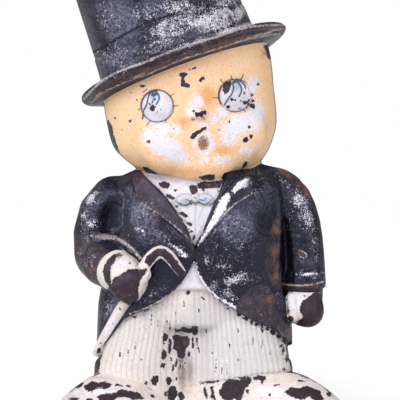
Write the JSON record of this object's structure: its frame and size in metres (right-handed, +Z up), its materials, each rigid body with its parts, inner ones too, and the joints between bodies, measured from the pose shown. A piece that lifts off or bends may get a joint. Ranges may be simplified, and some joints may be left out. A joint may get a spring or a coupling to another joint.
{
  "type": "figural cast iron doorstop",
  "caption": "Heavy hollow figure of a child in a leaning top hat and tailcoat with a cane, standing on flat soles, to hold a door open.",
  "frame": {"origin": "under the middle of the figure, on the plane that its soles stand on", "axes": "+Z up through the hat, -Y the way the face looks, +X towards the figure's own left hand"},
  "size_m": [0.1342, 0.0872, 0.2348],
  "materials": {
    "front_paint": "old enamel paint on cast iron: blue-black hat and coat, flesh face, white shirt, hands, cane, trousers and spats, all chipped to brown iron",
    "rear_paint": "old blue-black enamel paint all over on cast iron, worn and chipped to brown iron",
    "screw_iron": "dark oxidised iron machine screw with rust in its slot"
  },
  "bodies": {
    "root": {"front_casting": "front_paint", "rear_casting": "rear_paint", "upper_screw": "screw_iron", "lower_screw": "screw_iron"}
  },
  "joints": []
}
